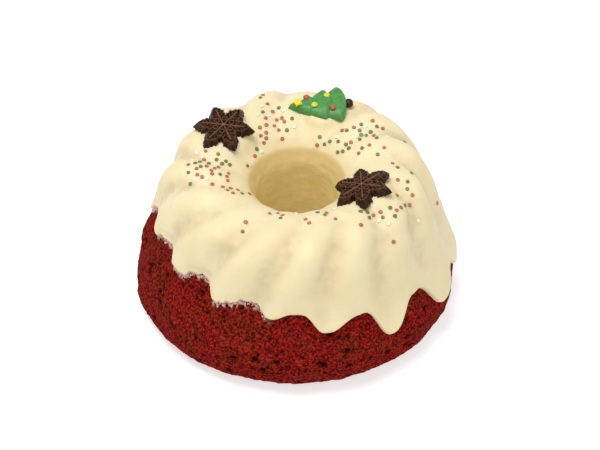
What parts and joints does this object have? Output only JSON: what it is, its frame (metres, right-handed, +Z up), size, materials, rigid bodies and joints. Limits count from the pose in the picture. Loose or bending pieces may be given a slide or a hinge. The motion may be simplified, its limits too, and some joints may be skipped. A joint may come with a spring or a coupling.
{
  "type": "bundt cake",
  "caption": "Fluted ring cake with a centre hole: sponge ring, icing shell that drips down its side, moulded snowflakes, a sugar tree and confetti sprinkles lying on top.",
  "frame": {"origin": "middle of the cake's underside, on the surface that it stands on, at the axis of the centre hole", "axes": "+Z up along the axis of the centre hole, -Y the front, +X to the right seen from the front"},
  "size_m": [0.1819, 0.1768, 0.0971],
  "materials": {
    "sponge": "porous crumb, matt",
    "cream_icing": "smooth, satin",
    "dark_chocolate": "moulded, satin",
    "sugar_green": "piped sugar, satin",
    "sugar_yellow": "piped sugar, satin",
    "sugar_red": "piped sugar, satin",
    "trunk_chocolate": "glossy",
    "sprinkle_red": "pressed sugar, matt",
    "sprinkle_green": "pressed sugar, matt",
    "sprinkle_white": "pressed sugar, matt"
  },
  "bodies": {
    "root": {"sponge_ring": "sponge", "icing_glaze": "cream_icing", "snowflake_left": "dark_chocolate", "snowflake_right": "dark_chocolate", "tree_foliage": "sugar_green", "tree_trunk": "trunk_chocolate", "tree_star": "sugar_yellow", "tree_dot_yellow_1": "sugar_yellow", "tree_dot_yellow_2": "sugar_yellow", "tree_dot_red_1": "sugar_red", "tree_dot_red_2": "sugar_red", "sprinkle_green_01": "sprinkle_green", "sprinkle_green_03": "sprinkle_green", "sprinkle_green_06": "sprinkle_green", "sprinkle_green_10": "sprinkle_green", "sprinkle_green_12": "sprinkle_green", "sprinkle_green_15": "sprinkle_green", "sprinkle_green_19": "sprinkle_green", "sprinkle_green_21": "sprinkle_green", "sprinkle_green_24": "sprinkle_green", "sprinkle_green_28": "sprinkle_green", "sprinkle_green_30": "sprinkle_green", "sprinkle_green_33": "sprinkle_green", "sprinkle_green_37": "sprinkle_green", "sprinkle_green_39": "sprinkle_green", "sprinkle_green_42": "sprinkle_green", "sprinkle_red_02": "sprinkle_red", "sprinkle_red_05": "sprinkle_red", "sprinkle_red_07": "sprinkle_red", "sprinkle_red_09": "sprinkle_red", "sprinkle_red_11": "sprinkle_red", "sprinkle_red_14": "sprinkle_red", "sprinkle_red_16": "sprinkle_red", "sprinkle_red_18": "sprinkle_red", "sprinkle_red_20": "sprinkle_red", "sprinkle_red_23": "sprinkle_red", "sprinkle_red_25": "sprinkle_red", "sprinkle_red_27": "sprinkle_red", "sprinkle_red_29": "sprinkle_red", "sprinkle_red_32": "sprinkle_red", "sprinkle_red_34": "sprinkle_red", "sprinkle_red_36": "sprinkle_red", "sprinkle_red_38": "sprinkle_red", "sprinkle_red_41": "sprinkle_red", "sprinkle_red_43": "sprinkle_red", "sprinkle_white_04": "sprinkle_white", "sprinkle_white_08": "sprinkle_white", "sprinkle_white_13": "sprinkle_white", "sprinkle_white_17": "sprinkle_white", "sprinkle_white_22": "sprinkle_white", "sprinkle_white_26": "sprinkle_white", "sprinkle_white_31": "sprinkle_white", "sprinkle_white_35": "sprinkle_white", "sprinkle_white_40": "sprinkle_white", "sprinkle_white_44": "sprinkle_white"}
  },
  "joints": []
}
